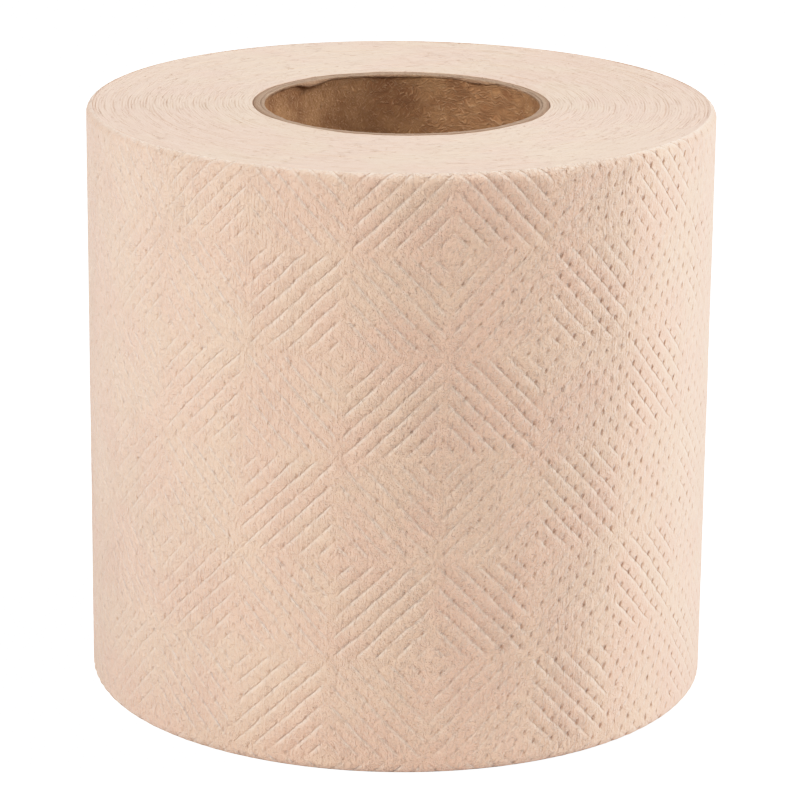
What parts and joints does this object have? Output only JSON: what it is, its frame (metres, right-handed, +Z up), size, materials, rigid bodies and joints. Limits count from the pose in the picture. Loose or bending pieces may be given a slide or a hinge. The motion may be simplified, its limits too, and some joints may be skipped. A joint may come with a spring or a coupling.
{
  "type": "paper towel roll",
  "caption": "Short roll of unbleached bamboo paper towel with a diamond-quilted embossed surface, wound on an open cardboard tube.",
  "frame": {"origin": "centre of the roll's lower end face, on the axis", "axes": "+Z up along the roll's axis, -Y towards the front, which is the side opposite the web's free end"},
  "size_m": [0.106, 0.1057, 0.1],
  "materials": {
    "bamboo_paper": "matt, soft, crepe",
    "core_board": "matt"
  },
  "bodies": {
    "root": {"paper_roll": "bamboo_paper", "core_tube": "core_board"}
  },
  "joints": []
}
